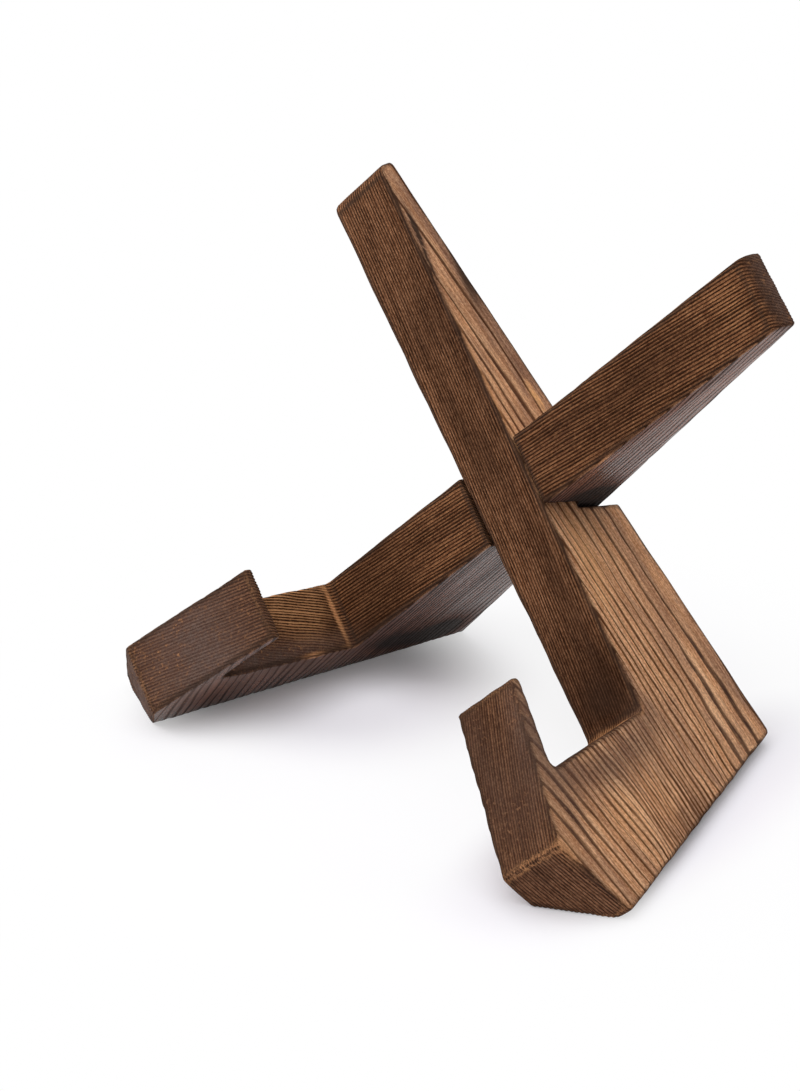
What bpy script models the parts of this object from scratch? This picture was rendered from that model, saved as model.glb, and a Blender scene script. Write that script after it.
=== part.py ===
"""Cookbook stand: two mirror-image softwood boards that cross in a half-lap.

Metres, +Z up, the reader in front (-Y) and the table at Z = 0. The origin is on the table,
under the middle of the whole stand.

Both boards are sawn to the same flat outline: a tapered bar at the top, a wide foot with a
ledge for the book at the bottom, and a lip in front of the ledge. An outline lives in its
board's own frame. There X is the depth, positive towards the reader, and runs along the line
in which the two boards cross. Y climbs the bar, and Z is across the board. The right foot
board has its foot on the right and its tip on the left; its lap is cut from behind. The left
foot board is its mirror image, with its lap cut from the front.
"""

from math import cos, radians, sin, tan

import bmesh
import bpy
from mathutils import Matrix, Vector

# The stock, and how the boards stand
BOARD_THICKNESS = 0.028
LEAN_BACK = radians(16.8)
SPREAD = radians(45.0)
CROSSING_HEIGHT = 0.0904

# The bar: its reach above the crossing, the slight tilt of its front, and its tip
BAR_REACH = 0.1312
BAR_TILT = radians(1.0)
TIP_DEPTH = 0.0083
TIP_RISE = 0.0025

# The ledge that the book stands on, and the lip in front of it
LEDGE_HEIGHT = 0.0254
LEDGE_DEPTH = 0.0591
LEDGE_FALL = 0.0149
LIP_HEIGHT = 0.0335
LIP_RAKE = 0.0039
LIP_TOP_THICKNESS = 0.0042
LIP_FOOT_THICKNESS = 0.0137
LIP_FOOT_HEIGHT = 0.0190

# The foot: the slope of the toe, the heel behind the front, and the square land at the bottom
TOE_SLOPE = radians(52.2)
HEEL_DEPTH = 0.0659
LAND_WIDTH = 0.0070

# The half-lap: its share of the bar's depth, and the room in it
LAP_SHARE = 0.5
SEAT_CLEARANCE = 0.0003
WALL_CLEARANCE = 0.0003
LAP_PLAY = 0.0009

# Rounding of the outline's corners and of the long edges
TIP_FRONT_RADIUS = 0.0050
TIP_BACK_RADIUS = 0.0020
INSIDE_RADIUS = 0.0025
LIP_TOP_RADIUS = 0.0016
CORNER_RADIUS = 0.0025
EDGE_RADIUS = 0.0010
EDGE_ANGLE = radians(30.0)
CORNER_REACH_SHARE = 0.45
ARC_STEPS = 4
EDGE_SEGMENTS = 2

# Doubled points nearer than this merge, and faces that turn by less than this are one face
WELD_DISTANCE = 0.00002
FLAT_ANGLE = radians(0.5)

WOOD_COLOUR = (0.165, 0.070, 0.026, 1.0)
WOOD_ROUGHNESS = 0.62

ACROSS_RISE = cos(LEAN_BACK) * sin(SPREAD)
ALONG_RISE = cos(LEAN_BACK) * cos(SPREAD)
DEPTH_RISE = sin(LEAN_BACK)


def clear_scene():
    """Remove every object that the file opened with."""
    for thing in list(bpy.data.objects):
        bpy.data.objects.remove(thing, do_unlink=True)


def new_collection(name):
    """Add an empty collection to the scene."""
    collection = bpy.data.collections.new(name)
    bpy.context.scene.collection.children.link(collection)
    return collection


def wood(name):
    """Brushed, torched softwood."""
    material = bpy.data.materials.new(name)
    material.use_nodes = True
    shader = material.node_tree.nodes["Principled BSDF"]
    shader.inputs["Base Color"].default_value = WOOD_COLOUR
    shader.inputs["Roughness"].default_value = WOOD_ROUGHNESS
    shader.inputs["Metallic"].default_value = 0.0
    return material


def board_frame(side):
    """Frame of a board: side is +1 for the foot on the right and -1 for the foot on the left.

    Its origin is the middle of the crossing, on the front faces. The depth axis is shared.
    """
    depth = Vector((0.0, -cos(LEAN_BACK), sin(LEAN_BACK)))
    along = Vector((-side * sin(SPREAD), cos(SPREAD) * sin(LEAN_BACK), ALONG_RISE))
    across = depth.cross(along)
    frame = Matrix((depth, along, across)).transposed().to_4x4()
    frame.translation = Vector((0.0, 0.0, CROSSING_HEIGHT))
    return frame


def at_height(depth, height):
    """Outline point at a depth where the middle of the board is at a height above the table."""
    along = (height - CROSSING_HEIGHT - depth * DEPTH_RISE) / ALONG_RISE
    return Vector((depth, along))


def bar_front(along):
    """Outline point on the front of the bar."""
    return Vector((along * tan(BAR_TILT), along))


def meeting_point(start, direction, other_start, other_direction):
    """Where two straight lines of the outline cross."""
    span = other_start - start
    turn = direction.x * other_direction.y - direction.y * other_direction.x
    travel = (span.x * other_direction.y - span.y * other_direction.x) / turn
    return start + direction * travel


def board_corners():
    """Corners of the outline, each with the radius that rounds it, from the tip's front."""
    tip_front = bar_front(BAR_REACH)
    tip_back = tip_front + Vector((-TIP_DEPTH, TIP_RISE))

    root_height_along = (LEDGE_HEIGHT - CROSSING_HEIGHT) / (ALONG_RISE + tan(BAR_TILT) * DEPTH_RISE)
    ledge_root = bar_front(root_height_along)
    ledge_front = ledge_root + Vector((LEDGE_DEPTH, -LEDGE_FALL))
    lip_inside = ledge_front + Vector((-LIP_RAKE, LIP_HEIGHT))
    lip_outside = lip_inside + Vector((LIP_TOP_THICKNESS, 0.0))
    lip_foot = at_height(ledge_front.x + LIP_FOOT_THICKNESS, LIP_FOOT_HEIGHT)

    table_line = at_height(HEEL_DEPTH, 0.0) - at_height(0.0, 0.0)
    land_drop = (BOARD_THICKNESS / 2 - LAND_WIDTH) * ACROSS_RISE
    land_start = at_height(0.0, -land_drop)
    toe_line = Vector((-cos(TOE_SLOPE), -sin(TOE_SLOPE)))
    toe = meeting_point(lip_foot, toe_line, land_start, table_line)
    heel_on_table = at_height(-HEEL_DEPTH, 0.0)
    heel = meeting_point(tip_back, heel_on_table - tip_back, land_start, table_line)

    return [
        (tip_front, TIP_FRONT_RADIUS),
        (tip_back, TIP_BACK_RADIUS),
        (heel, CORNER_RADIUS),
        (toe, CORNER_RADIUS),
        (lip_foot, CORNER_RADIUS),
        (lip_outside, LIP_TOP_RADIUS),
        (lip_inside, LIP_TOP_RADIUS),
        (ledge_front, INSIDE_RADIUS),
        (ledge_root, INSIDE_RADIUS),
    ]


def rounded(corners):
    """Replace each corner with an arc that is tangent to both of its edges."""
    points = []
    for index, (corner, radius) in enumerate(corners):
        back = corners[index - 1][0] - corner
        ahead = corners[(index + 1) % len(corners)][0] - corner
        half_angle = back.angle(ahead) / 2
        longest_reach = CORNER_REACH_SHARE * min(back.length, ahead.length)
        reach = min(radius / tan(half_angle), longest_reach)
        inward = (back.normalized() + ahead.normalized()).normalized()
        centre = corner + inward * reach / cos(half_angle)
        first = corner + back.normalized() * reach - centre
        last = corner + ahead.normalized() * reach - centre
        for step in range(ARC_STEPS + 1):
            points.append(centre + first.slerp(last, step / ARC_STEPS) * first.length)
    return points


def lap_floor_depth():
    """Depth of the floor between the two halves of the lap, behind the bars' front."""
    corners = board_corners()
    tip_back = corners[1][0]
    heel = corners[2][0]
    back_of_bar = meeting_point(tip_back, heel - tip_back, Vector((0.0, 0.0)), Vector((1.0, 0.0)))
    return back_of_bar.x * LAP_SHARE


def cut_blank(name, side, collection):
    """Saw the outline out of the board: a filled flat curve, extruded and made a closed mesh."""
    points = rounded(board_corners())
    curve = bpy.data.curves.new(name + "_outline", "CURVE")
    curve.dimensions = "2D"
    curve.fill_mode = "BOTH"
    curve.extrude = BOARD_THICKNESS / 2
    spline = curve.splines.new("POLY")
    spline.points.add(len(points) - 1)
    for knot, point in zip(spline.points, points):
        knot.co = (point.x, point.y, 0.0, 1.0)
    spline.use_cyclic_u = True

    outline = bpy.data.objects.new(name + "_outline", curve)
    collection.objects.link(outline)
    outline.matrix_world = board_frame(side)
    bpy.context.view_layer.update()
    evaluated = outline.evaluated_get(bpy.context.evaluated_depsgraph_get())
    mesh = bpy.data.meshes.new_from_object(evaluated)
    mesh.name = name

    shape = bmesh.new()
    shape.from_mesh(mesh)
    bmesh.ops.remove_doubles(shape, verts=shape.verts, dist=WELD_DISTANCE)
    bmesh.ops.dissolve_limit(
        shape, angle_limit=FLAT_ANGLE, verts=shape.verts, edges=shape.edges, delimit={"NORMAL"}
    )
    bmesh.ops.recalc_face_normals(shape, faces=shape.faces)
    shape.to_mesh(mesh)
    shape.free()

    board = bpy.data.objects.new(name, mesh)
    collection.objects.link(board)
    board.matrix_world = outline.matrix_world
    bpy.data.objects.remove(outline, do_unlink=True)
    mesh.materials.clear()
    mesh.materials.append(wood(name + "_wood"))
    return board


def add_cutter(name, frame, low, high, collection):
    """A box between two corners of a frame, hidden from the render."""
    bpy.ops.mesh.primitive_cube_add(size=1.0)
    cutter = bpy.context.object
    cutter.name = name
    cutter.data.name = name
    size = Vector(high) - Vector(low)
    centre = (Vector(high) + Vector(low)) / 2
    cutter.data.transform(Matrix.Translation(centre) @ Matrix.Diagonal(size.to_4d()))
    cutter.matrix_world = frame
    for holder in list(cutter.users_collection):
        holder.objects.unlink(cutter)
    collection.objects.link(cutter)
    cutter.hide_render = True
    cutter.display_type = "WIRE"
    return cutter


def add_lap_cutter(side, collection):
    """Room for the board of one side, as the notch that its neighbour gets.

    The right foot board fills the front half of the lap and the left one the back half. The
    play is all on the underside of the board, because the board rests against the other wall.
    """
    floor = lap_floor_depth()
    half = BOARD_THICKNESS / 2 + WALL_CLEARANCE
    length = BAR_REACH
    upper = -side * half
    lower = side * (half + LAP_PLAY)
    depth_low = floor - SEAT_CLEARANCE if side > 0 else floor - length
    depth_high = length if side > 0 else floor
    name = "right_lap_room" if side > 0 else "left_lap_room"
    low = (depth_low, -length, min(upper, lower))
    high = (depth_high, length, max(upper, lower))
    return add_cutter(name, board_frame(side), low, high, collection)


def add_table_cutter(collection):
    """Everything under the table, which is trimmed off both feet."""
    reach = BAR_REACH + CROSSING_HEIGHT + LEDGE_DEPTH
    return add_cutter("table_cut", Matrix(), (-reach, -reach, -reach), (reach, reach, 0.0), collection)


def subtract(board, cutter, name):
    """Cut one solid out of a board."""
    cut = board.modifiers.new(name, "BOOLEAN")
    cut.operation = "DIFFERENCE"
    cut.solver = "EXACT"
    cut.object = cutter


def break_edges(board):
    """Round the long edges, as the wire brush leaves them."""
    rounding = board.modifiers.new("broken_edges", "BEVEL")
    rounding.width = EDGE_RADIUS
    rounding.segments = EDGE_SEGMENTS
    rounding.limit_method = "ANGLE"
    rounding.angle_limit = EDGE_ANGLE


def centre_over_origin(stand, cutters):
    """Move everything along Y so that the stand's box is centred on the origin."""
    bpy.context.view_layer.update()
    depsgraph = bpy.context.evaluated_depsgraph_get()
    places = []
    for board in stand.objects:
        shape = board.evaluated_get(depsgraph)
        places.extend((shape.matrix_world @ vertex.co).y for vertex in shape.data.vertices)
    middle = (min(places) + max(places)) / 2
    for thing in (*stand.objects, *cutters.objects):
        thing.location.y -= middle


def build():
    """Make the stand."""
    clear_scene()
    stand = new_collection("cookbook_stand")
    cutters = new_collection("cutters")
    table = add_table_cutter(cutters)
    rooms = {side: add_lap_cutter(side, cutters) for side in (1, -1)}
    for name, side in (("right_foot_board", 1), ("left_foot_board", -1)):
        board = cut_blank(name, side, stand)
        subtract(board, table, "table_trim")
        subtract(board, rooms[-side], "half_lap")
        break_edges(board)
    centre_over_origin(stand, cutters)


build()
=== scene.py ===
import math
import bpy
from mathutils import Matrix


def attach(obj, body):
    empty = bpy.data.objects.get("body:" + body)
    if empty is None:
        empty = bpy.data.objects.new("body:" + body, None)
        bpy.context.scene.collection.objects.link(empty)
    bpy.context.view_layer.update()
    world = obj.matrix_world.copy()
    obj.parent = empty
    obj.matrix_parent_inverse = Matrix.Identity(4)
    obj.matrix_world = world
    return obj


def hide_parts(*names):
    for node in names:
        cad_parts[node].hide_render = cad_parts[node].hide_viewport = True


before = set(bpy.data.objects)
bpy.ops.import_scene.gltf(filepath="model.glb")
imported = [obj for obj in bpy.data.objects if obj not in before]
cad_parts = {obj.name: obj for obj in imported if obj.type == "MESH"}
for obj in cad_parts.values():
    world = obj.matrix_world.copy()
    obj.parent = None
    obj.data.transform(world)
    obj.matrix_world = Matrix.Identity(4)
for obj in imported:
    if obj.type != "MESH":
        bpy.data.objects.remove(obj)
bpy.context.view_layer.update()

from types import SimpleNamespace

import bmesh
import bpy
import numpy as np
from mathutils import Matrix, Vector
from mathutils.geometry import delaunay_2d_cdt

# The stand's named sizes. Lengths are in millimetres, and MM turns them into metres.
MM = 0.001
LEAN_BACK = math.radians(16.8)
SPREAD = math.radians(45)
CROSSING = (0.0, 26.96, 90.4)

# The grain lines on the broad faces: a slow bend up the bar, and a fan below the ledge.
GRAIN_LEVEL = -105
BAR_BEND = 0.00023
BAR_BEND_START = -20
FAN_SLOPE = 0.23
FAN_LEVEL = -118
FAN_BOTTOM = -60
FAN_REACH = 45
FAN_START = 0
FAN_END = 34

# The rings: how thick each is through the board, and how wide across the grain.
RING_THICKNESS = 1.22
TIGHT_RINGS_AT = 15
TIGHTEST_RING = 1.9
BACK_WIDENING = 0.04
BACK_SURGE = 7
BACK_SURGE_AT = 70
BACK_SURGE_END = 72
BACK_SURGE_POWER = 6
FRONT_WIDENING = 0.055
FRONT_CURVE = 0.0003
COUNT_REACH = 140.0
COUNT_STEP = 0.25
RATE_STEP = 0.25

# Sums of waves: how many, how far their lengths spread, and what each sum adds to a board's seed.
WAVE_COUNT = 7
WAVE_SPAN = (0.6, 1.5)
QUICK_SEED = 1
DEEP_SEED = 2
UNEVEN_SEED = 3
DIP_SEED = 5

# How the rings wander: the lengths of three sums of waves, and how far each moves a place.
SLOW_WAVES = (16, 70, 30)
QUICK_WAVES = (7, 22, 9)
DEEP_WAVES = (18, 70, 16)
SLOW_SWAY = 0.30
QUICK_SWAY = 0.13
DEEP_SWAY = 0.06
DEEP_QUICK_SWAY = 0.015
LOOSE_FROM = 5
LOOSE_TO = 60

# The dense shell: points across a ring, rows along it, and how near its rim a point may be.
SAMPLES_PER_RING = 6
STEP_ALONG = 2.8
SEARCH_STEP = 0.1
SEARCH_MARGIN = 0.2
LATTICE_CLEARANCE = 0.38
RIM_INSET = 0.4
RIM_CLEARANCE = 1.6 * RIM_INSET
INNER_CLEARANCE = 0.75 * RIM_INSET

# What counts as one corner, in metres, as one flat face, and as a large one, in square millimetres.
WELD_DISTANCE = 1e-6
FLAT_TURN = math.radians(0.3)
SMALLEST_FLAT = 300
FAR_AWAY = 1e9

# Limits that keep the sums safe, and the mode in which only what is inside an outline is filled.
MERGE_DISTANCE = 1e-9
LEAST_EDGE_SQUARED = 1e-9
LEAST_RUN_SQUARED = 1e-12
INSIDE_ONLY = 1

# Which way a face has to look: the cosine where it begins to count, and where it counts fully.
BROAD_TURN = (0.72, 0.97)
END_TURN = (0.72, 0.96)

# The late wood at the end of a ring, in widths of its band, and the pale edge beside it.
LATE_START = 1.4
LATE_FULL = 0.7
LATE_STOP = 0.14
EDGE_START = 3.0
EDGE_FULL = 1.6
EDGE_STOP = 1.0

# The width of that band, and what makes it wider or narrower.
DARK_LINE = 0.95
BAND_LIMITS = (0.08, 0.52)
BAND_CHANGES = (0.4, 3)
BAND_LAST_LIMITS = (0.06, 0.7)
UNEVEN_WAVES = (17, 9, 9)
UNEVEN_TURN = 9
UNEVEN_RUN = 0.12
UNEVEN_SHARE = 0.18
UNEVEN_BROAD_SHARE = 0.12
HEAVY_BAND_SHARE = 1.3
GOLDEN_BAND_SHARE = 0.25

# How deep the wire brush goes.
BRUSH_DEPTH = 0.2
BRUSH_LEAST_SHARE = 0.75
BRUSH_DIP_SHARE = 0.5
DIP_WAVES = (9, 26, 9)
ARRIS_WEAR = 0.17
ARRIS_WEAR_REACH = 2.5

# Noise drawn out along the grain: turns per millimetre across and along, and the ends of its step.
NOISE = {
    "fray": {"across": 1.6, "along": 0.22, "detail": 3.0, "rough": 0.55},
    "threads": {"across": 1.25, "along": 0.04, "detail": 2.0, "rough": 0.6, "ends": (0.40, 0.62)},
    "speck": {"across": 1.7, "along": 0.9, "detail": 2.0, "rough": 0.65, "ends": (0.40, 0.62)},
    "blotch": {"across": 0.07, "along": 0.022, "detail": 2.0, "rough": 0.55, "ends": (0.38, 0.62)},
    "mottle": {"across": 0.5, "along": 0.1, "detail": 3.0, "rough": 0.65, "ends": (0.34, 0.66)},
    "streak": {"across": 0.26, "along": 0.016, "detail": 2.0, "rough": 0.55, "ends": (0.40, 0.64)},
    "fleck": {"across": 0.85, "along": 0.6, "detail": 2.0, "rough": 0.6, "ends": (0.55, 0.66)},
}
FRAY_SHARE = 0.32
RING_TONE_TURN = 3.7
RING_TONE_RUN = 0.02
RING_TONE_ENDS = (0.3, 0.7)
FLECK_LEAST_SHARE = 0.2
FLECK_BLOTCH_SHARE = 0.8

# The open grain of the broad faces: how much each mark counts in its colours.
BLOTCH_SHARE = 0.3
BLOTCH_BROAD_SHARE = 0.25
RING_TONE_SHARE = 0.2
RING_TONE_BROAD_SHARE = 0.1
MOTTLE_TOAST_SHARE = 0.1
GOLD_AND_HIGHLIGHT_FROM = 0.5
TAN_FROM = 0.4
TAN_SHARE = 0.7
HONEY_SHARE = 0.45
HONEY_TOAST_SHARE = 0.3
THREAD_LIGHT_SHARE = 0.33
SPECK_LIGHT_SHARE = 0.4
EDGE_LIGHT_SHARE = 0.42
LIGHT_SHARE = 0.9
LIGHT_TOAST_SHARE = 0.5
GLOOM_SHARE = 0.42
RING_GLOOM_FROM = 0.4
RING_GLOOM_SHARE = 0.18
LINE_FADE_SHARE = 0.25
LINE_SHARE = 0.78
MOTTLE_LINE_SHARE = 0.3

# The close grain of the narrow faces, and the ends.
EMBER_TOAST_SHARE = 0.8
THREAD_EMBER_SHARE = 0.3
SPECK_EMBER_SHARE = 0.5
END_LINE_SHARE = 0.8

# Greyed places, flecks, burnt arrises, rubbed ones, a painted glint, and char partly painted shade.
ASH_LINE_SHARE = 0.08
ASH_LINE_MOTTLE_SHARE = 0.22
ASH_SPECK_SHARE = 0.46
RUST_SHARE = 0.35
FLECK_SHARE = 0.2
FLECK_ASH_SHARE = 0.8
CHAR_BROAD_INSET = 0.5
CHAR_SPECK_WANDER = 0.3
CHAR_MOTTLE_WANDER = 0.4
CHAR_REACH = (1.6, 0.2)
CHAR_GLOW_SHARE = 0.8
SCORCH_AND_SHADE_CHAR = (0.75, 1.5)
CHAR_MOST_SHARE = 0.94
RUB_WANDER = 0.4
RUB_REACH = (1.3, 0.2)
RUB_LINE_SHARE = 0.4
SCUFF_WANDER = 0.5
SCUFF_REACH = (1.1, 0.1)
SCUFF_LEAST_SHARE = 0.25
RUB_MOST_SHARE = 0.9
RUB_GOLDEN_SHARE = 0.5

# The surface: how the marks change its roughness, and its fine relief, whose depth is in metres.
SPECK_ROUGHNESS = 0.14
SCORCH_AND_SHADE_ROUGHNESS = 0.5
THREAD_RELIEF = 0.25
SPECK_RELIEF = 0.4
LATE_RELIEF = 0.5
RELIEF_DEPTH = 0.00016

# The camera, found from the straight edges of the photo: its place in metres, its lens in millimetres.
CAMERA_PLACE = (0.55389, -0.58931, 0.46005)
CAMERA_BACK = (0.63418, -0.64512, 0.42619)
CAMERA_ROLL = math.radians(-2.0188)
CAMERA_LENS = 83.35
SENSOR_HEIGHT = 36
NEAREST_SEEN = 0.01
FURTHEST_SEEN = 20

# The lamps: flat boxes that face the stand, with their places and sizes in metres.
LAMP_TARGET = (0, 0, 0.08)
LAMPS = {
    "front_softbox": {"place": (0.0, -1.1, 1.3), "size": 1.5, "watts": 8, "tint": (1.0, 0.99, 0.975)},
    "top_softbox": {"place": (0.0, 0.1, 1.6), "size": 2.6, "watts": 29.5, "tint": (1.0, 1.0, 1.0)},
    "right_softbox": {"place": (0.9, 1.1, 1.0), "size": 1.0, "watts": 2.5, "tint": (1.0, 0.985, 0.96)},
    "left_softbox": {"place": (-1.1, -0.7, 1.0), "size": 1.0, "watts": 8.5, "tint": (1.0, 0.99, 0.975)},
}
WORLD_LIGHT = 0.06
WORLD_TINT = (0.96, 0.97, 1.0)

# The floor, and the soft shadows under the feet as ovals from dark to white, in metres.
FLOOR_REACH = 6.0
FLOOR_TINT = (0.955, 0.935, 1.0)
FLOOR_ROUGHNESS = 0.95
FLOOR_GLOSS = 0.1
FLOOR_LIFT = 0.11
FOOT_SHADOWS = (
    {"offset": (0.060, -0.004, 0.0), "stretch": (1.0, 1.0, 1.0), "dark": 0.025, "white": 0.078},
    {"offset": (-0.176, 0.0, 0.0), "stretch": (2.0, 0.75, 1.0), "dark": 0.04, "white": 0.095},
    {"offset": (0.176, 0.0, 0.0), "stretch": (2.0, 0.75, 1.0), "dark": 0.022, "white": 0.075},
)
NEAR_WHITE = 0.8
WHITE_FROM = 0.09
WHITE_TO = 0.2


def board_axes(side):
    """Unit vectors of one board: its depth towards the reader, its length up the bar, and its thickness.

    The depth leans back by LEAN_BACK, the length leans sideways by SPREAD, and the thickness is the
    cross product of the two.
    """
    depth = np.array([0, -math.cos(LEAN_BACK), math.sin(LEAN_BACK)])
    length = np.array([
        -side * math.sin(SPREAD),
        math.cos(SPREAD) * math.sin(LEAN_BACK),
        math.cos(SPREAD) * math.cos(LEAN_BACK),
    ])
    return np.stack([depth, length, np.cross(depth, length)])


def smooth(low, high, value):
    """A smooth step: 0 up to low, 1 from high, and 3 t squared less 2 t cubed between them."""
    share = np.clip((value - low) / (high - low), 0, 1)
    return share * share * (3 - 2 * share)


def waves(places, lengths, seed):
    """Smooth noise of about unit height: a sum of sine waves of random direction and phase.

    Each wave is about as long as lengths says, along each axis.
    """
    source = np.random.default_rng(seed)
    turns = source.normal(size=(WAVE_COUNT, 3))
    turns /= np.linalg.norm(turns, axis=1, keepdims=True)
    turns *= source.uniform(*WAVE_SPAN, size=(WAVE_COUNT, 1)) / np.asarray(lengths, float)
    starts = source.uniform(0, 1, size=WAVE_COUNT)
    return np.sin(2 * np.pi * (places @ turns.T + starts)).sum(axis=1) * math.sqrt(2 / WAVE_COUNT)


def grain_line(places, slope):
    """The number that stays the same along one grain line of the broad face: its depth at GRAIN_LEVEL.

    It is the depth less the slope times the height, less a slow bend up the bar that grows with the
    height squared, less the fan below the ledge.
    """
    depth, height = places[:, 0], places[:, 1]
    bend = BAR_BEND * np.clip(height - BAR_BEND_START, 0, None) ** 2
    fan = FAN_SLOPE * smooth(FAN_START, FAN_END, depth)
    fan *= np.clip(height - FAN_LEVEL, FAN_BOTTOM, FAN_REACH)
    return depth - slope * (height - GRAIN_LEVEL) - bend - fan


def ring_count(line, width_share, widest):
    """How many rings lie behind a grain line, counted from far behind the board.

    It is the running sum of one over the ring width. Rings are narrowest at TIGHT_RINGS_AT and widen to
    both sides up to widest: evenly at first, then with the sixth power of the distance towards the back
    edge and with its square towards the front.
    """
    steps = np.arange(-COUNT_REACH, COUNT_REACH, COUNT_STEP)
    back = np.clip(TIGHT_RINGS_AT - steps, 0, None)
    front = np.clip(steps - TIGHT_RINGS_AT, 0, None)
    surge = BACK_SURGE * (np.clip(back, 0, BACK_SURGE_END) / BACK_SURGE_AT) ** BACK_SURGE_POWER
    widths = TIGHTEST_RING + BACK_WIDENING * back + surge + FRONT_WIDENING * front + FRONT_CURVE * front ** 2
    counts = np.cumsum(COUNT_STEP / (width_share * np.clip(widths, None, widest)))
    return np.interp(line, steps, counts)


def even_rings(places, board):
    """The ring number at each place of a board, before it wanders.

    It is the count across the grain less the count through the thickness.
    """
    line = grain_line(places, board["slope"]) + board["line_shift"]
    across = ring_count(line, board["width_share"], board["widest_ring"])
    return across - places[:, 2] / RING_THICKNESS + board["ring_start"]


def wandering_rings(places, board):
    """The ring number after the rings wander: slow and quick waves first move each place a little.

    The board's loose_grain makes that sway wider towards its back edge.
    """
    slow = waves(places, SLOW_WAVES, board["seed"])
    quick = waves(places, QUICK_WAVES, board["seed"] + QUICK_SEED)
    deep = waves(places, DEEP_WAVES, board["seed"] + DEEP_SEED)
    loose = 1 + board["loose_grain"] * smooth(LOOSE_FROM, LOOSE_TO, -places[:, 0])
    sideways = loose * (SLOW_SWAY * slow + QUICK_SWAY * quick)
    through = DEEP_SWAY * deep + DEEP_QUICK_SWAY * quick
    return even_rings(places + np.stack([sideways, 0 * slow, through], axis=1), board)


def rings_per_millimetre(places, face, board):
    """How fast the ring number changes over the surface.

    It is the length of the number's rate of change, less its part along the face's normal.
    """
    rates = []
    for step in np.eye(3) * RATE_STEP:
        rise = even_rings(places + step, board) - even_rings(places - step, board)
        rates.append(rise / (2 * RATE_STEP))
    rate = np.stack(rates, axis=1)
    rate -= face * (rate * face).sum(axis=1, keepdims=True)
    return np.linalg.norm(rate, axis=1)


def flat_faces(node):
    """The CAD node's corners in millimetres, and its flat faces: corner numbers, normal and area."""
    form = bmesh.new()
    form.from_mesh(node.data)
    bmesh.ops.remove_doubles(form, verts=form.verts, dist=WELD_DISTANCE)
    bmesh.ops.dissolve_limit(form, angle_limit=FLAT_TURN, verts=form.verts, edges=form.edges)
    form.normal_update()
    form.verts.index_update()
    corners = np.array([v.co[:] for v in form.verts]) / MM
    loops = []
    for flat in form.faces:
        area = flat.calc_area() / MM ** 2
        loops.append(([v.index for v in flat.verts], np.array(flat.normal[:]), area))
    form.free()
    return corners, loops


def split_edges(corners, loops, board):
    """Points along every edge, closer together where the edge crosses more rings.

    Returns all points, and a dictionary from each edge, both ways round, to the numbers of its points.
    """
    points = [corners]
    count = len(corners)
    numbers = even_rings(board["to_board"](corners), board)
    runs = {}
    for loop, _, _ in loops:
        for a, b in zip(loop, loop[1:] + loop[:1]):
            if (b, a) in runs or (a, b) in runs:
                continue
            length = np.linalg.norm(corners[a] - corners[b])
            crossed = abs(numbers[a] - numbers[b]) * SAMPLES_PER_RING
            parts = max(1, math.ceil(max(crossed, length / STEP_ALONG)))
            share = (np.arange(1, parts) / parts)[:, None]
            points.append(corners[a] * (1 - share) + corners[b] * share)
            runs[a, b] = list(range(count, count + parts - 1))
            runs[b, a] = runs[a, b][::-1]
            count += parts - 1
    return np.concatenate(points), runs


def inside(points, outline):
    """Whether each flat point lies in a closed outline.

    It does if a line from it crosses the outline an odd number of times.
    """
    x, y = points[:, :1], points[:, 1:]
    x1, y1 = outline[:, 0], outline[:, 1]
    x2, y2 = np.roll(x1, -1), np.roll(y1, -1)
    spans = (y1 > y) != (y2 > y)
    rise = np.where(y2 == y1, 1, y2 - y1)
    crossing = x1 + (y - y1) * (x2 - x1) / rise
    return (spans & (x < crossing)).sum(axis=1) % 2 == 1


def clearance(points, outline):
    """The distance from each flat point to the nearest piece of a closed outline."""
    run = np.roll(outline, -1, axis=0) - outline
    size = np.maximum((run ** 2).sum(axis=1), LEAST_RUN_SQUARED)
    offset = points[:, None] - outline[None]
    share = np.clip((offset * run).sum(axis=2) / size, 0, 1)
    return np.sqrt(((offset - share[..., None] * run) ** 2).sum(axis=2)).min(axis=1)


def inner_rim(rim, normal):
    """The rim moved into its face by RIM_INSET, square to the line between each point's neighbours."""
    along = np.roll(rim, -1, axis=0) - np.roll(rim, 1, axis=0)
    along /= np.linalg.norm(along, axis=1, keepdims=True)
    return rim + RIM_INSET * np.cross(normal, along)


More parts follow.
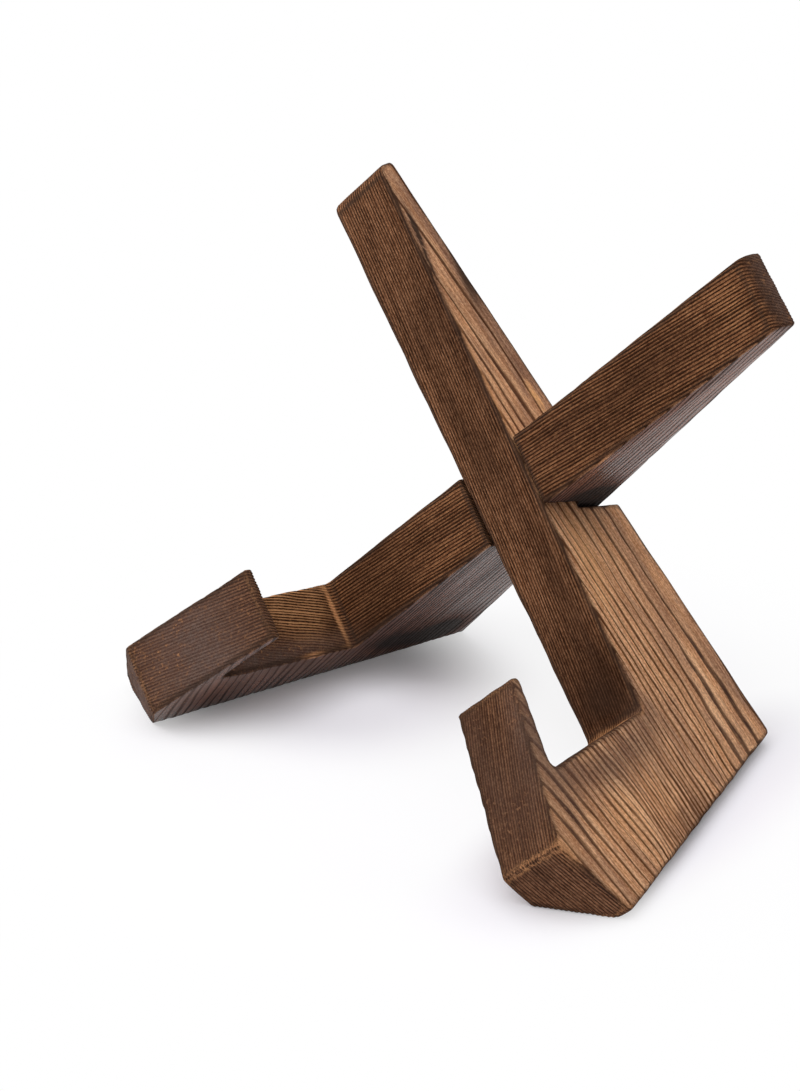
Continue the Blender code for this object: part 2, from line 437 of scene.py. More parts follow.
def woven_face(rim, normal, board):
    """A lattice over one flat face: columns follow the ring lines, and rows cross them.

    A point is a function of two parameters, the ring number times SAMPLES_PER_RING and the distance
    along the lines over STEP_ALONG, so that every cell is about a unit square. A broad face also gets
    an inner rim close to its arrises. Returns the points, and the rim and points in both parameters.
    """
    middle = rim.mean(axis=0)
    tilt = np.eye(3) / 2
    sides = even_rings(board["to_board"](np.concatenate([middle + tilt, middle - tilt])), board)
    rise = sides[:3] - sides[3:]
    rise -= normal * (rise @ normal)
    column = rise / np.linalg.norm(rise)
    row = np.cross(normal, column)

    def to_flat(points):
        return np.stack([(points - middle) @ column, (points - middle) @ row], axis=1)

    def to_weave(points):
        rings = even_rings(board["to_board"](points), board) * SAMPLES_PER_RING
        return np.stack([rings, to_flat(points)[:, 1] / STEP_ALONG], axis=1)

    flat = to_flat(rim)
    rim_weave = to_weave(rim)
    low, high = flat.min(axis=0), flat.max(axis=0)
    rows = np.arange(math.ceil(low[1] / STEP_ALONG), math.floor(high[1] / STEP_ALONG) + 1)
    fine = np.arange(low[0] - SEARCH_MARGIN, high[0] + SEARCH_MARGIN, SEARCH_STEP)
    lattice, weave = [np.zeros((0, 3))], [np.zeros((0, 2))]
    for step in rows:
        line = middle + fine[:, None] * column + step * STEP_ALONG * row
        rings = even_rings(board["to_board"](line), board) * SAMPLES_PER_RING
        wanted = np.arange(math.ceil(rings[0]), math.floor(rings[-1]) + 1)
        across = np.interp(wanted, rings, fine)
        lattice.append(middle + across[:, None] * column + step * STEP_ALONG * row)
        weave.append(np.stack([wanted.astype(float), np.full(len(wanted), float(step))], axis=1))
    lattice, weave = np.concatenate(lattice), np.concatenate(weave)
    kept = inside(weave, rim_weave)
    lattice, weave = lattice[kept], weave[kept]
    kept = clearance(weave, rim_weave) > LATTICE_CLEARANCE
    lattice, weave = lattice[kept], weave[kept]
    if abs(normal @ board_axes(board["side"])[2]) > BROAD_TURN[1]:
        kept = clearance(to_flat(lattice), flat) > RIM_CLEARANCE
        inner = inner_rim(rim, normal)
        clear = inside(to_flat(inner), flat) & (clearance(to_flat(inner), flat) > INNER_CLEARANCE)
        lattice = np.concatenate([lattice[kept], inner[clear]])
        weave = np.concatenate([weave[kept], to_weave(inner)[clear]])
    return lattice, rim_weave, weave


def dense_shell(node, board):
    """The board's shape as one closed dense shell: each flat face of the CAD node filled with its lattice.

    Returns the points in millimetres, the triangles, and the node's corners and flat faces.
    """
    corners, loops = flat_faces(node)
    points, runs = split_edges(corners, loops, board)
    shell = [points]
    count = len(points)
    triangles = []
    for loop, normal, _ in loops:
        rim_numbers = []
        for a, b in zip(loop, loop[1:] + loop[:1]):
            rim_numbers += [a] + runs[a, b]
        lattice, rim_weave, weave = woven_face(points[rim_numbers], normal, board)
        numbers = np.concatenate([rim_numbers, np.arange(count, count + len(lattice))]).astype(int)
        shell.append(lattice)
        count += len(lattice)
        spots = [Vector(p) for p in np.concatenate([rim_weave, weave])]
        rim_loop = list(range(len(rim_numbers)))
        found = delaunay_2d_cdt(spots, [], [rim_loop], INSIDE_ONLY, MERGE_DISTANCE)
        origin = np.array([o[0] for o in found[3]])
        triangles.append(numbers[origin[np.array(found[2])]])
    return np.concatenate(shell), np.concatenate(triangles), corners, loops


def arris_distance(places, corners, loops):
    """The distance of each place from the nearest rim of a large flat face, which is its arris."""
    nearest = np.full(len(places), FAR_AWAY)
    for loop, _, area in loops:
        if area <= SMALLEST_FLAT:
            continue
        rim = corners[loop]
        for start, run in zip(rim, np.roll(rim, -1, axis=0) - rim):
            share = np.clip(((places - start) @ run) / max(run @ run, LEAST_EDGE_SQUARED), 0, 1)
            away = np.linalg.norm(places - start - share[:, None] * run, axis=1)
            nearest = np.minimum(nearest, away)
    return nearest


def late_wood(rings, band):
    """How much of each place is hard late wood.

    Each ring starts soft, hardens smoothly over its last band of width, and ends sharply.
    """
    share = rings - np.floor(rings)
    hard = smooth(1 - LATE_START * band, 1 - LATE_FULL * band, share)
    return hard * (1 - smooth(1 - LATE_STOP * band, 1, share))


# The kinds of patches, as each board lists them and the finish reads them.
PATCH_LABELS = ("heavy", "ashen", "scorched", "golden", "worn", "scuffed")


def patches(places, marks):
    """Soft oval patches added together.

    Each is its strength times the bell curve of the distance from its middle, measured in its own radii.
    """
    total = np.zeros(len(places))
    for middle, radii, strength in marks:
        away = (((places - np.array(middle)) / np.array(radii)) ** 2).sum(axis=1)
        total += strength * np.exp(-away)
    return total


def wood_layers(places, face, away, board):
    """What the finish reads at each place.

    That is the ring number, how wide its late wood is, how broad or end-on the face looks, how fast the
    ring number changes, the distance from an arris, and the patches.
    """
    broad = smooth(*BROAD_TURN, np.abs(face[:, 2]))
    rings = wandering_rings(places, board)
    dense = rings_per_millimetre(places, face, board)
    marks = {label: patches(places, board[label]) for label in PATCH_LABELS}
    spread = np.stack([rings * UNEVEN_TURN, places[:, 1] * UNEVEN_RUN, rings * 0], axis=1)
    uneven = UNEVEN_SHARE + UNEVEN_BROAD_SHARE * broad
    uneven *= waves(spread, UNEVEN_WAVES, board["seed"] + UNEVEN_SEED)
    band = np.clip(DARK_LINE * dense, *BAND_LIMITS)
    band *= np.clip(1 + uneven + HEAVY_BAND_SHARE * marks["heavy"], *BAND_CHANGES)
    band *= 1 - GOLDEN_BAND_SHARE * broad * np.clip(marks["golden"], 0, 1)
    return {
        "ring": rings,
        "band": np.clip(band, *BAND_LAST_LIMITS),
        "broad": broad,
        "ends": smooth(*END_TURN, np.abs(face[:, 1])),
        "dense": dense,
        "arris": away,
        **marks,
    }


def brushed_board(name, node_name, board):
    """One board of torched softwood: the dense shell, with its soft wood brushed away between the rings.

    Every point moves inwards along its normal by BRUSH_DEPTH times the softness of the wood there, less
    on a broad face and with slow dips, plus a wear of the arrises that fades with the distance from them.
    """
    axes = board_axes(board["side"])
    board["to_board"] = lambda points: (points - np.array(CROSSING)) @ axes.T
    points, triangles, corners, loops = dense_shell(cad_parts[node_name], board)
    mesh = bpy.data.meshes.new(name)
    mesh.from_pydata(points * MM, [], triangles.tolist())
    mesh.validate()
    normals = np.zeros(len(points) * 3)
    mesh.vertex_normals.foreach_get("vector", normals)
    normals = normals.reshape(-1, 3)
    places = board["to_board"](points)
    away = arris_distance(points, corners, loops)
    layers = wood_layers(places, normals @ axes.T, away, board)

    broad = layers["broad"]
    late = late_wood(layers["ring"], layers["band"])
    dips = 0.5 + 0.5 * waves(places, DIP_WAVES, board["seed"] + DIP_SEED)
    depth = BRUSH_DEPTH * (1 - late) * (BRUSH_LEAST_SHARE + BRUSH_DIP_SHARE * dips)
    depth *= 1 - broad * (1 - board["broad_brush_share"])
    depth += ARRIS_WEAR * dips * np.exp(-away / ARRIS_WEAR_REACH)
    sunk = points - normals * depth[:, None]
    sunk[:, 2] = np.maximum(sunk[:, 2], 0)
    mesh.vertices.foreach_set("co", (sunk * MM).ravel())
    mesh.polygons.foreach_set("use_smooth", np.ones(len(mesh.polygons), bool))

    for label, values in layers.items():
        layer = mesh.attributes.new(label, "FLOAT", "POINT")
        layer.data.foreach_set("value", values.astype(np.float32))
    grain = np.stack([grain_line(places, board["slope"]), places[:, 1], places[:, 2]], axis=1)
    layer = mesh.attributes.new("grain", "FLOAT_VECTOR", "POINT")
    layer.data.foreach_set("vector", grain.astype(np.float32).ravel())
    mesh.update()

    piece = bpy.data.objects.new(name, mesh)
    bpy.context.scene.collection.objects.link(piece)
    # Faces that look down take the under finish, whose darker colours are painted shade.
    for part in ("edge_finish", "upper_finish", "shaded_under_finish"):
        mesh.materials.append(board[part])
    flat_on = broad[triangles].min(axis=1) > 0.5
    downward = normals[triangles, 2].mean(axis=1) < 0
    mesh.polygons.foreach_set("material_index", flat_on.astype(np.int32) * (1 + downward))
    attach(piece, board["body"])
    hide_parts(node_name)


# The sockets of a Mix node that is set to colours, by number, since its sockets share their names.
MIX_SHARE_SOCKET = 0
MIX_FIRST_SOCKET = 6
MIX_SECOND_SOCKET = 7
MIX_RESULT_SOCKET = 2


class Wire:
    """A socket of a shader, so that number sums can be written as Python expressions."""

    def __init__(self, sheet, socket):
        self.sheet = sheet
        self.socket = socket

    def maths(self, operation, *others, backwards=False):
        """A Math node on this value and the others, with this one last where backwards."""
        values = (*others, self) if backwards else (self, *others)
        return self.sheet.node("Math", {"operation": operation}, dict(enumerate(values)))

    def __add__(self, other):
        return self.maths("ADD", other)

    def __sub__(self, other):
        return self.maths("SUBTRACT", other)

    def __rsub__(self, other):
        return self.maths("SUBTRACT", other, backwards=True)

    def __mul__(self, other):
        return self.maths("MULTIPLY", other)

    __radd__ = __add__
    __rmul__ = __mul__

    def part(self):
        """What follows the decimal point."""
        return self.maths("FRACT")

    def upto(self, limit):
        """The value, or the limit where that is less."""
        return self.maths("MINIMUM", limit)

    def atleast(self, limit):
        """The value, or the limit where that is more."""
        return self.maths("MAXIMUM", limit)

    def step(self, low, high):
        """A smooth step from low to high, which falls where low is the larger."""
        settings = {"interpolation_type": "SMOOTHSTEP", "clamp": True}
        ends = {"Value": self, "From Min": low, "From Max": high}
        return self.sheet.node("MapRange", settings, ends)


class Sheet:
    """A node tree and the few calls that build its nodes."""

    def __init__(self, tree):
        self.tree = tree

    def node(self, kind, settings=None, inputs=None, output=0):
        """Add one node: its settings come first, then the values or links of its sockets."""
        made = self.tree.nodes.new("ShaderNode" + kind)
        for key, value in (settings or {}).items():
            setattr(made, key, value)
        for key, value in (inputs or {}).items():
            self.feed(made.inputs[key], value)
        return Wire(self, made.outputs[output])

    def feed(self, socket, value):
        """Link a wire to a socket, or set its number, vector or colour."""
        if isinstance(value, Wire):
            self.tree.links.new(value.socket, socket)
        elif isinstance(value, tuple) and socket.type == "RGBA":
            socket.default_value = (*value, 1)
        else:
            socket.default_value = value

    def seen(self):
        """One where the surface is seen straight, in a reflection or through glass, otherwise nought."""
        straight = self.node("LightPath", output="Is Camera Ray")
        glossy = self.node("LightPath", output="Is Glossy Ray")
        through = self.node("LightPath", output="Is Transmission Ray")
        return (straight + glossy + through).upto(1)

    def length_of(self, vector):
        """How long a vector is."""
        return self.node("VectorMath", {"operation": "LENGTH"}, {0: vector}, output="Value")

    def attribute(self, name, output="Fac"):
        """A value that the mesh carries at each of its points."""
        return self.node("Attribute", {"attribute_name": name}, output=output)

    def mix(self, share, first, second):
        """A colour between two, by a share that is kept between nought and one."""
        settings = {"data_type": "RGBA", "clamp_factor": True}
        values = {MIX_SHARE_SOCKET: share, MIX_FIRST_SOCKET: first, MIX_SECOND_SOCKET: second}
        return self.node("Mix", settings, values, output=MIX_RESULT_SOCKET)

    def drawn_out(self, grain, label):
        """Noise in the grain's own millimetres, drawn out along it, with its smooth step if it has one."""
        kind = NOISE[label]
        scale = (kind["across"], kind["along"], kind["across"])
        sized = self.node("VectorMath", {"operation": "MULTIPLY"}, {0: grain, 1: scale})
        values = {"Vector": sized, "Scale": 1.0, "Detail": kind["detail"], "Roughness": kind["rough"]}
        noise = self.node("TexNoise", {}, values)
        return noise.step(*kind["ends"]) if "ends" in kind else noise


class Finish(Sheet):
    """A material whose colour and surface the calls of its sheet build."""

    def __init__(self, name):
        self.material = bpy.data.materials.new(name)
        self.material.use_nodes = True
        super().__init__(self.material.node_tree)
        self.shader = self.tree.nodes["Principled BSDF"]


NUMBER_LABELS = ("ring", "band", "broad", "ends", "dense", "arris", *PATCH_LABELS)


def wood_marks(look):
    """Every mark that mixes the wood's colours: what the mesh carries, and noise drawn out along the grain.

    The place in a ring is the part of its number after the point, once the fray has moved it a little.
    """
    on = SimpleNamespace(**{label: look.attribute(label) for label in NUMBER_LABELS})
    grain = look.attribute("grain", "Vector")
    for label in ("threads", "speck", "blotch", "mottle", "streak"):
        setattr(on, label, look.drawn_out(grain, label))
    number = on.ring + (look.drawn_out(grain, "fray") - 0.5) * on.dense * FRAY_SHARE
    on.place = number.part()
    height = look.node("SeparateXYZ", {}, {0: grain}, output="Y")
    turn = {"X": (number - on.place) * RING_TONE_TURN, "Y": height * RING_TONE_RUN}
    spot = look.node("CombineXYZ", {}, turn)
    noise = look.node("TexNoise", {}, {"Vector": spot, "Scale": 1.0, "Detail": 1.0})
    on.ring_tone = noise.step(*RING_TONE_ENDS)
    starts = on.place.step(1 - LATE_START * on.band, 1 - LATE_FULL * on.band)
    on.late = starts * (1 - on.place.step(1 - LATE_STOP * on.band, 1.0))
    starts = on.place.step(1 - EDGE_START * on.band, 1 - EDGE_FULL * on.band)
    on.edge = starts * (1 - on.place.step(1 - EDGE_FULL * on.band, 1 - EDGE_STOP * on.band))
    flecked = FLECK_LEAST_SHARE + FLECK_BLOTCH_SHARE * on.blotch
    on.fleck = look.drawn_out(grain, "fleck") * on.mottle * flecked
    blotchy = on.blotch * (BLOTCH_SHARE + BLOTCH_BROAD_SHARE * on.broad)
    blotchy = blotchy + on.ring_tone * (RING_TONE_SHARE + RING_TONE_BROAD_SHARE * on.broad)
    # Scorched patches darken the wood and golden ones lighten it; some are painted shade and painted
    # highlights.
    toast = blotchy + on.mottle * MOTTLE_TOAST_SHARE + on.scorched - on.golden
    on.toast = toast.atleast(0).upto(1)
    # Strong golden patches get a bright colour: golden wood, and painted highlights and glints.
    on.sunny = (on.golden - GOLD_AND_HIGHLIGHT_FROM).atleast(0)
    return on


def open_wood(look, on, tone):
    """The colour of the broad faces: golden to toasted wood with pale fibres, and the rings' dark lines."""
    colour = look.mix(on.toast, tone["golden"], tone["toasted"])
    colour = look.mix((on.mottle - TAN_FROM).atleast(0) * TAN_SHARE, colour, tone["tan"])
    colour = look.mix(on.streak * (HONEY_SHARE - HONEY_TOAST_SHARE * on.toast), colour, tone["honey"])
    light = on.threads * THREAD_LIGHT_SHARE + on.speck * SPECK_LIGHT_SHARE + on.edge * EDGE_LIGHT_SHARE
    colour = look.mix(light * (LIGHT_SHARE - LIGHT_TOAST_SHARE * on.toast), colour, tone["fibre"])
    # The strongest golden patches: golden wood, and painted highlights and glints.
    colour = look.mix(on.sunny, colour, tone["sunny"])
    gloom = (1 - on.threads * 0.5 - on.speck * 0.5) * GLOOM_SHARE
    gloom = gloom + on.place.step(RING_GLOOM_FROM, 1.0) * RING_GLOOM_SHARE
    colour = look.mix(gloom, colour, tone["shade"])
    line_tone = look.mix(on.heavy, tone["late"], tone["heavy"])
    faded = 1 - LINE_FADE_SHARE * on.golden.upto(1)
    return look.mix(on.late * faded * (LINE_SHARE + MOTTLE_LINE_SHARE * on.mottle), colour, line_tone)


def close_wood(look, on, tone):
    """The colour of the narrow faces: amber to umber with glowing fibres, and near-black lines."""
    colour = look.mix(on.toast, tone["amber"], tone["umber"])
    glow = on.threads * THREAD_EMBER_SHARE + on.speck * SPECK_EMBER_SHARE
    colour = look.mix((1 - EMBER_TOAST_SHARE * on.toast) * glow, colour, tone["ember"])
    # The strongest golden patches on narrow faces: golden wood, and painted light on the left ledge.
    colour = look.mix(on.sunny, colour, tone["rubbed_and_glint"])
    return look.mix(on.late * (tone["line_share"] + MOTTLE_LINE_SHARE * on.mottle), colour, tone["dark"])


def greyed(look, on, wood, tone):
    """The wood with its greyed places, and the small bright flecks that show most of all there."""
    share = on.late * (ASH_LINE_SHARE + ASH_LINE_MOTTLE_SHARE * on.mottle)
    share = share + (1 - on.speck) * ASH_SPECK_SHARE
    ash = look.mix(share, tone["ash"], tone["heavy"])
    ash = look.mix(on.mottle * RUST_SHARE + on.blotch * RUST_SHARE, ash, tone["rust"])
    wood = look.mix(on.ashen, wood, ash)
    return look.mix(on.fleck * (FLECK_SHARE + FLECK_ASH_SHARE * on.ashen), wood, tone["ember"])


def burnt_and_rubbed(look, on, wood, tone):
    """Ragged burnt arrises, char partly painted shade, arrises bright from rubbing, and a painted glint."""
    inset = on.arris + CHAR_BROAD_INSET * on.broad
    inset = inset + (on.speck - 0.5) * CHAR_SPECK_WANDER + (on.mottle - 0.5) * CHAR_MOTTLE_WANDER
    ragged = inset.step(*CHAR_REACH) * (1 - on.golden * CHAR_GLOW_SHARE).atleast(0)
    # The strongest scorched patches turn to char: burnt wood, and painted shade by the crossing.
    deep = (on.scorched - on.golden).step(*SCORCH_AND_SHADE_CHAR)
    char = (ragged * tone["arris_share"] + deep).upto(CHAR_MOST_SHARE)
    wood = look.mix(char, wood, tone["char"])
    # Rubbed arrises, and a painted glint on the left underside's arris by the crossing.
    rubbed_and_glint = on.worn * (on.ends + on.broad).upto(1) * (on.arris - on.speck * RUB_WANDER).step(*RUB_REACH)
    rubbed_and_glint = rubbed_and_glint * (1 - on.late * RUB_LINE_SHARE)
    scuffs = (on.arris + (on.mottle - on.speck) * SCUFF_WANDER).step(*SCUFF_REACH)
    rubbed_and_glint = rubbed_and_glint + on.scuffed * scuffs * (SCUFF_LEAST_SHARE + on.speck)
    bright = look.mix(on.mottle * RUB_GOLDEN_SHARE, tone["rubbed_and_glint"], tone["golden"])
    return look.mix(rubbed_and_glint.upto(RUB_MOST_SHARE), wood, bright)


def torched_softwood(name, tone, surface):
    """Torched and brushed softwood: its colours by the kind of face, and its roughness and fine relief."""
    look = Finish(name)
    on = wood_marks(look)
    wood = look.mix(on.broad, close_wood(look, on, tone), open_wood(look, on, tone))
    end_grain = look.mix(on.mottle, tone["end"], tone["end_dark"])
    end_grain = look.mix(on.late * END_LINE_SHARE, end_grain, tone["dark"])
    wood = look.mix(on.ends * tone["end_share"], wood, end_grain)
    wood = greyed(look, on, wood, tone)
    look.feed(look.shader.inputs["Base Color"], burnt_and_rubbed(look, on, wood, tone))
    dulled = surface["roughness"] + surface["line_roughness"] * on.late + (on.speck - 0.5) * SPECK_ROUGHNESS
    dulled = dulled + on.scorched.upto(1) * SCORCH_AND_SHADE_ROUGHNESS - on.golden.upto(1) * surface["shine"]
    look.feed(look.shader.inputs["Roughness"], dulled)
    look.shader.inputs["Specular IOR Level"].default_value = surface["gloss"]
    height = on.threads * THREAD_RELIEF + on.speck * SPECK_RELIEF + on.late * LATE_RELIEF
    relief = {"Strength": surface["relief"], "Distance": RELIEF_DEPTH, "Height": height}
    look.feed(look.shader.inputs["Normal"], look.node("Bump", {}, relief))
    return look.material


# The surfaces of the narrow faces, of the upper broad faces and of the undersides.
MATT = {"gloss": 0.04, "roughness": 0.5, "line_roughness": 0.1, "relief": 0.8, "shine": 0.0}
OILED = {"gloss": 0.06, "roughness": 0.5, "line_roughness": 0.1, "relief": 0.7, "shine": 0.0}
SATIN = {"gloss": 0.28, "roughness": 0.2, "line_roughness": 0.36, "relief": 0.6, "shine": 0.1}

# The wood's colours, then the left foot board's narrow faces, and both undersides darker as painted shade.
RIGHT_TONE = {
    "golden": (0.64, 0.287, 0.129),
    "tan": (0.25, 0.152, 0.115),
    "honey": (0.70, 0.30, 0.108),
    "toasted": (0.225, 0.104, 0.066),
    "fibre": (0.98, 0.60, 0.34),
    "sunny": (1.0, 0.53, 0.235),
    "amber": (0.178, 0.070, 0.0290),
    "umber": (0.061, 0.0258, 0.0137),
    "ember": (0.44, 0.22, 0.115),
    "rubbed_and_glint": (0.64, 0.31, 0.135),
    "end": (0.15, 0.085, 0.048),
    "end_dark": (0.06, 0.033, 0.018),
    "end_share": 0.35,
    "shade": (0.10, 0.039, 0.016),
    "late": (0.084, 0.028, 0.0085),
    "heavy": (0.052, 0.0245, 0.0165),
    "dark": (0.027, 0.0095, 0.0033),
    "line_share": 0.74,
    "ash": (0.155, 0.098, 0.074),
    "rust": (0.115, 0.052, 0.033),
    "char": (0.042, 0.024, 0.016),
    "arris_share": 0.66,
}

LEFT_TONE = dict(RIGHT_TONE)
LEFT_TONE.update({
    "ash": (0.160, 0.109, 0.090),
    "rust": (0.138, 0.070, 0.048),
    "amber": (0.156, 0.058, 0.0245),
    "umber": (0.053, 0.0215, 0.0110),
    "ember": (0.42, 0.20, 0.090),
    "line_share": 0.85,
})

# The undersides: the same wood in darker colours, which are painted shade of faces that look down.
SHADED_UNDER_TONE = dict(RIGHT_TONE)
SHADED_UNDER_TONE.update({
    "golden": (0.25, 0.084, 0.040),
    "tan": (0.135, 0.064, 0.045),
    "honey": (0.27, 0.090, 0.036),
    "toasted": (0.068, 0.026, 0.017),
    "fibre": (0.34, 0.165, 0.115),
    "sunny": (0.34, 0.160, 0.100),
    "shade": (0.02, 0.009, 0.006),
    "late": (0.020, 0.008, 0.005),
    "char": (0.010, 0.005, 0.003),
})

UPPER_FINISH = torched_softwood("torched_softwood_upper", RIGHT_TONE, OILED)
SHADED_UNDER_FINISH = torched_softwood("torched_softwood_under_shaded", SHADED_UNDER_TONE, SATIN)

# Each board's grain and its patches: a middle, radii in depth, length and thickness, and a strength.
# Some patches below are painted shade, highlights, glints, a sheen and a reflection, as marked.
RIGHT_BOARD = {
    "side": 1,
    "body": "right_foot",
    "seed": 11,
    "ring_start": 0.25,
    "slope": 0.226,
    "line_shift": 0.0,
    "width_share": 1.0,
    "widest_ring": 10.5,
    "loose_grain": 1.6,
    "broad_brush_share": 0.9,
    "heavy": [
        ((-55, -106, -14), (6, 22, 8), 1.7),
        ((-45, -96, -14), (7, 32, 8), 1.6),
        ((-33, -45, -14), (6, 30, 8), 0.5),
        ((58, -126, -14), (9, 18, 8), 0.9),
        ((-27, -20, -14), (7, 20, 8), 0.6),
        ((-12, 75, -14), (22, 60, 8), 0.6),
    ],
    "scorched": [
        ((-1.7, 50, 3.5), (3, 26, 4), 1.0),
        ((-1.7, 10, -1), (3, 24, 4.5), 0.6),
        ((-1.7, -30, -6), (3, 28, 4.5), 0.6),
        ((-16, 82, -14), (4, 26, 6), 0.5),
        ((36, -113, -14), (10, 5, 8), 0.5),
        ((52, -122, -14), (7, 14, 8), 0.35),
        ((-52, -100, -14), (9, 22, 8), 0.5),
        ((-1.7, 104, -14), (1.3, 9, 4), 2.2),
        ((-0.6, 88, -14), (0.9, 11, 4), 1.6),
        ((-3, 122, -14), (9, 16, 8), 0.25),
        ((-18, 86, -14), (5, 20, 8), 0.6),
        ((-25, 58, -14), (5, 20, 8), 0.6),
        ((-14, 80, -14), (20, 60, 8), 0.38),
        ((66, -105, 0), (8, 45, 30), 0.45),
        ((60, -85, 9), (8, 22, 7), 0.5),
        ((58, -108, -14), (8, 16, 6), 0.2),
        # Scorched wood and painted shade: the bar front darkened in its corner above the ledge.
        ((0, -87, 0), (8, 24, 20), 1.1),
        ((-4, -136, -14), (15, 7, 8), 0.95),
    ],
    "golden": [
        ((30, -130, -14), (22, 20, 8), 0.7),
        ((62, -158, 0), (26, 20, 30), 0.5),
        ((-45, -95, -14), (14, 30, 8), 0.4),
        ((-6, 72, -14), (7, 50, 8), 0.2),
        ((-4, 32, -14), (4, 14, 6), 0.4),
        ((-1.7, 30, 11.5), (3, 60, 3), 0.5),
        # Golden wood and painted highlight: the lit strip of the broad face below the crossing, in these two
        # patches.
        ((-9, -40, -14), (6, 26, 6), 0.8),
        ((-22, -32, -14), (14, 26, 6), 0.65),
        ((-10, -112, -14), (20, 18, 8), 0.3),
        ((61, -86, -14), (3.5, 14, 6), 0.75),
        ((67, -116, -14), (4, 16, 6), 0.65),
        ((70, -140, -14), (7, 8, 6), 0.8),
        ((5, -96, 6), (10, 4, 12), 1.3),
        # Painted glint: a bright streak beside a grain line of the broad face, in these three patches.
        ((-23.6, 35, -14), (1.1, 2.6, 3), 2.2),
        ((-24.7, 31, -14), (1.1, 2.6, 3), 2.4),
        ((-25.8, 27, -14), (1.1, 2.6, 3), 2.2),
    ],
    "scuffed": [
        ((71, -136, 0), (3, 3, 16), 0.6),
        ((71, -141, -14), (5, 7, 3), 0.5),
        ((52, -161, -4), (7, 3, 14), 0.5),
        ((57, -77, -4), (4, 2, 12), 0.3),
    ],
    "worn": [
        ((-1.7, -95.3, 0), (4, 3, 10), 2.6),
        ((-1, 40, -14), (1.4, 26, 3), 0.7),
    ],
    "ashen": [
        ((57, -95, -14), (9, 26, 8), 0.9),
        ((68, -105, 0), (6, 40, 30), 0.42),
        ((60, -85, 9), (8, 22, 7), 0.3),
        ((62, -158, 0), (20, 14, 30), 0.25),
        ((0, -98, -14), (12, 8, 8), 0.5),
        ((14, -108, -14), (14, 6, 8), 0.5),
        ((34, -114, -14), (18, 7, 8), 0.6),
    ],
    "edge_finish": torched_softwood("torched_softwood_right", RIGHT_TONE, MATT),
    "upper_finish": UPPER_FINISH,
    "shaded_under_finish": SHADED_UNDER_FINISH,
}

LEFT_BOARD = {
    "side": -1,
    "body": "left_foot",
    "seed": 47,
    "ring_start": 0.6,
    "slope": 0.14,
    "line_shift": 35.0,
    "width_share": 0.9,
    "widest_ring": 4.3,
    "loose_grain": 0.0,
    "broad_brush_share": 0.45,
    "heavy": [],
    "scorched": [
        ((0, 134, 0), (14, 5, 20), 0.8),
        ((-1.7, 74, 1), (4, 32, 9), 0.7),
        # Scorched wood and painted shade: the bar front darkened in its corner above the ledge.
        ((-1.7, -76, 0), (4, 20, 30), 0.35),
        # Painted shade: the underside darkened near the floor.
        ((-20, -86, -14), (36, 18, 6), 0.7),
        ((-1.7, 74, -12.5), (3, 36, 2.5), 1.3),
        ((1.5, 132.5, 0), (3, 2, 18), 1.0),
        # Painted shade: the underside darkened along the floor, in these four patches.
        ((-46, -88, -14), (12, 12, 5), 1.4),
        ((-24, -96, -14), (18, 10, 5), 0.9),
        ((22, -104, -14), (20, 10, 5), 0.6),
        ((50, -124, -14), (14, 14, 5), 0.9),
        ((20, -70, 0), (40, 30, 30), 0.25),
        # Painted shade: the underside by the crossing, darkened where the right board shades it.
        ((-24, 17, -14), (18, 12, 6), 2.1),
        ((12, -101, -4), (12, 8, 6), 0.7),
    ],
    "golden": [
        ((0, 118, 2), (6, 12, 16), 0.9),
        ((-1.7, 40, 12.5), (4, 50, 2.5), 0.4),
        ((-1.7, -38, 0), (4, 18, 30), 0.3),
        ((-1.7, 30, -6), (3, 14, 6), 0.5),
        # Painted light: the front of the ledge, made brighter as if more strongly lit.
        ((18, -99, 9), (20, 8, 12), 1.5),
        ((13, -99.5, 4), (12, 4, 14), 1.2),
        # Golden wood and painted sheen on the underside of the bar, which is also smoother there.
        ((-12, 84, -14), (14, 40, 4), 0.9),
        # Painted reflection: warm light from the right board along the underside's arris by the crossing.
        ((-3, 28, -14), (4, 12, 3), 0.3),
    ],
    "scuffed": [
        ((71, -136, 0), (3, 3, 16), 0.3),
        ((57, -77, 4), (4, 2, 12), 0.25),
    ],
    "worn": [
        ((-1.7, -95.3, 2), (4, 3, 13), 1.6),
        ((16, -99.8, -14), (4, 2.5, 4), 1.0),
        # Painted glint on the underside's arris near the crossing.
        ((-1.5, 44, -14), (3, 4, 2), 1.8),
    ],
    "ashen": [
        ((66, -105, 0), (9, 45, 30), 0.95),
        ((62, -152, 0), (14, 12, 30), 0.6),
        ((26, -104, -11), (34, 12, 6), 0.7),
        ((46, -107, -4), (10, 6, 12), 0.6),
        ((-4, 134, 0), (14, 3, 20), 0.95),
    ],
    "edge_finish": torched_softwood("torched_softwood_left", LEFT_TONE, MATT),
    "upper_finish": UPPER_FINISH,
    "shaded_under_finish": SHADED_UNDER_FINISH,
}

brushed_board("right_board_wood", "right_foot_board", RIGHT_BOARD)
brushed_board("left_board_wood", "left_foot_board", LEFT_BOARD)


def add_camera():
    """The camera at the photo's place, looking the photo's way with its slight roll."""
    back = Vector(CAMERA_BACK).normalized()
    level = Vector((0, 0, 1)).cross(back).normalized()
    upright = Matrix((level, back.cross(level), back)).transposed()
    turned = upright @ Matrix.Rotation(CAMERA_ROLL, 3, "Z")
    data = bpy.data.cameras.new("camera")
    data.lens = CAMERA_LENS
    data.sensor_width = SENSOR_HEIGHT
    data.clip_start = NEAREST_SEEN
    data.clip_end = FURTHEST_SEEN
    camera = bpy.data.objects.new("camera", data)
    camera.matrix_world = Matrix.Translation(CAMERA_PLACE) @ turned.to_4x4()
    bpy.context.scene.collection.objects.link(camera)
    bpy.context.scene.camera = camera


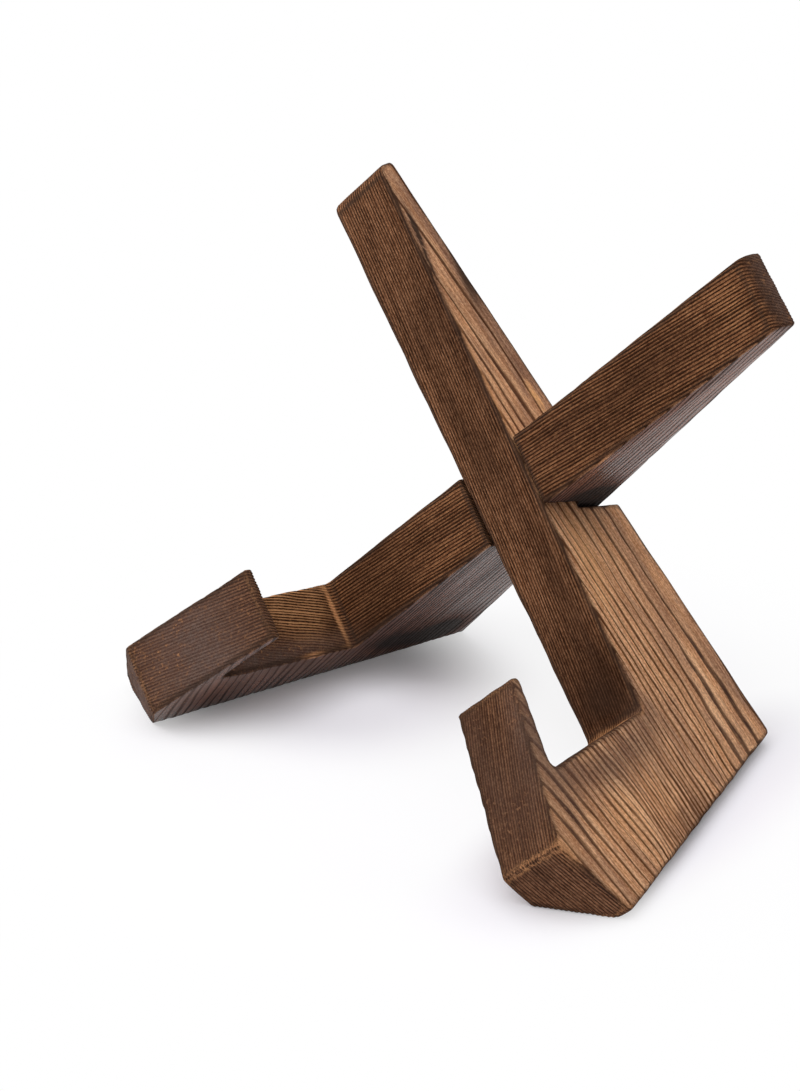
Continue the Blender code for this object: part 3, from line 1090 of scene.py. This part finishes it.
def add_lamp(name, lamp):
    """A flat square lamp that faces the stand."""
    data = bpy.data.lights.new(name, "AREA")
    data.shape = "RECTANGLE"
    data.size = lamp["size"]
    data.size_y = lamp["size"]
    data.energy = lamp["watts"]
    data.color = lamp["tint"]
    softbox = bpy.data.objects.new(name, data)
    softbox.location = lamp["place"]
    softbox.rotation_mode = "QUATERNION"
    towards = Vector(LAMP_TARGET) - Vector(lamp["place"])
    softbox.rotation_quaternion = towards.to_track_quat("-Z", "Y")
    bpy.context.scene.collection.objects.link(softbox)


def add_floor():
    """A pale floor that keeps the shadow, a little brighter for the camera, so that it ends in white."""
    mesh = bpy.data.meshes.new("floor")
    turns = ((-1, -1), (1, -1), (1, 1), (-1, 1))
    corners = [(x * FLOOR_REACH, y * FLOOR_REACH, 0) for x, y in turns]
    mesh.from_pydata(corners, [], [(0, 1, 2, 3)])
    floor = bpy.data.objects.new("floor", mesh)
    bpy.context.scene.collection.objects.link(floor)
    look = Finish("pale_floor")
    look.shader.inputs["Base Color"].default_value = (*FLOOR_TINT, 1)
    look.shader.inputs["Roughness"].default_value = FLOOR_ROUGHNESS
    look.shader.inputs["Specular IOR Level"].default_value = FLOOR_GLOSS
    place = look.node("TexCoord", output="Object")
    bright = NEAR_WHITE + (1 - NEAR_WHITE) * look.length_of(place).step(WHITE_FROM, WHITE_TO)
    for oval in FOOT_SHADOWS:
        values = {0: place, 1: oval["stretch"], 2: oval["offset"]}
        sized = look.node("VectorMath", {"operation": "MULTIPLY_ADD"}, values)
        bright = bright * look.length_of(sized).step(oval["dark"], oval["white"])
    white = look.node("Emission", {}, {"Color": (1.0, 1.0, 1.0), "Strength": 1.0})
    share = look.seen() * (FLOOR_LIFT + (1 - FLOOR_LIFT) * bright)
    both = look.node("MixShader", {}, {0: share, 1: Wire(look, look.shader.outputs[0]), 2: white})
    look.tree.links.new(both.socket, look.tree.nodes["Material Output"].inputs["Surface"])
    mesh.materials.append(look.material)


def add_world():
    """Even white light from all round, at a plain level, seen as white by the camera and in reflections."""
    world = bpy.data.worlds.new("studio")
    bpy.context.scene.world = world
    world.use_nodes = True
    sky = Sheet(world.node_tree)
    ground = sky.tree.nodes["Background"]
    ground.inputs["Color"].default_value = (*WORLD_TINT, 1)
    sky.feed(ground.inputs["Strength"], WORLD_LIGHT + (1 - WORLD_LIGHT) * sky.seen())


add_camera()
add_floor()
add_world()
for softbox_name, softbox_values in LAMPS.items():
    add_lamp(softbox_name, softbox_values)

bpy.context.scene.view_settings.view_transform = "Standard"
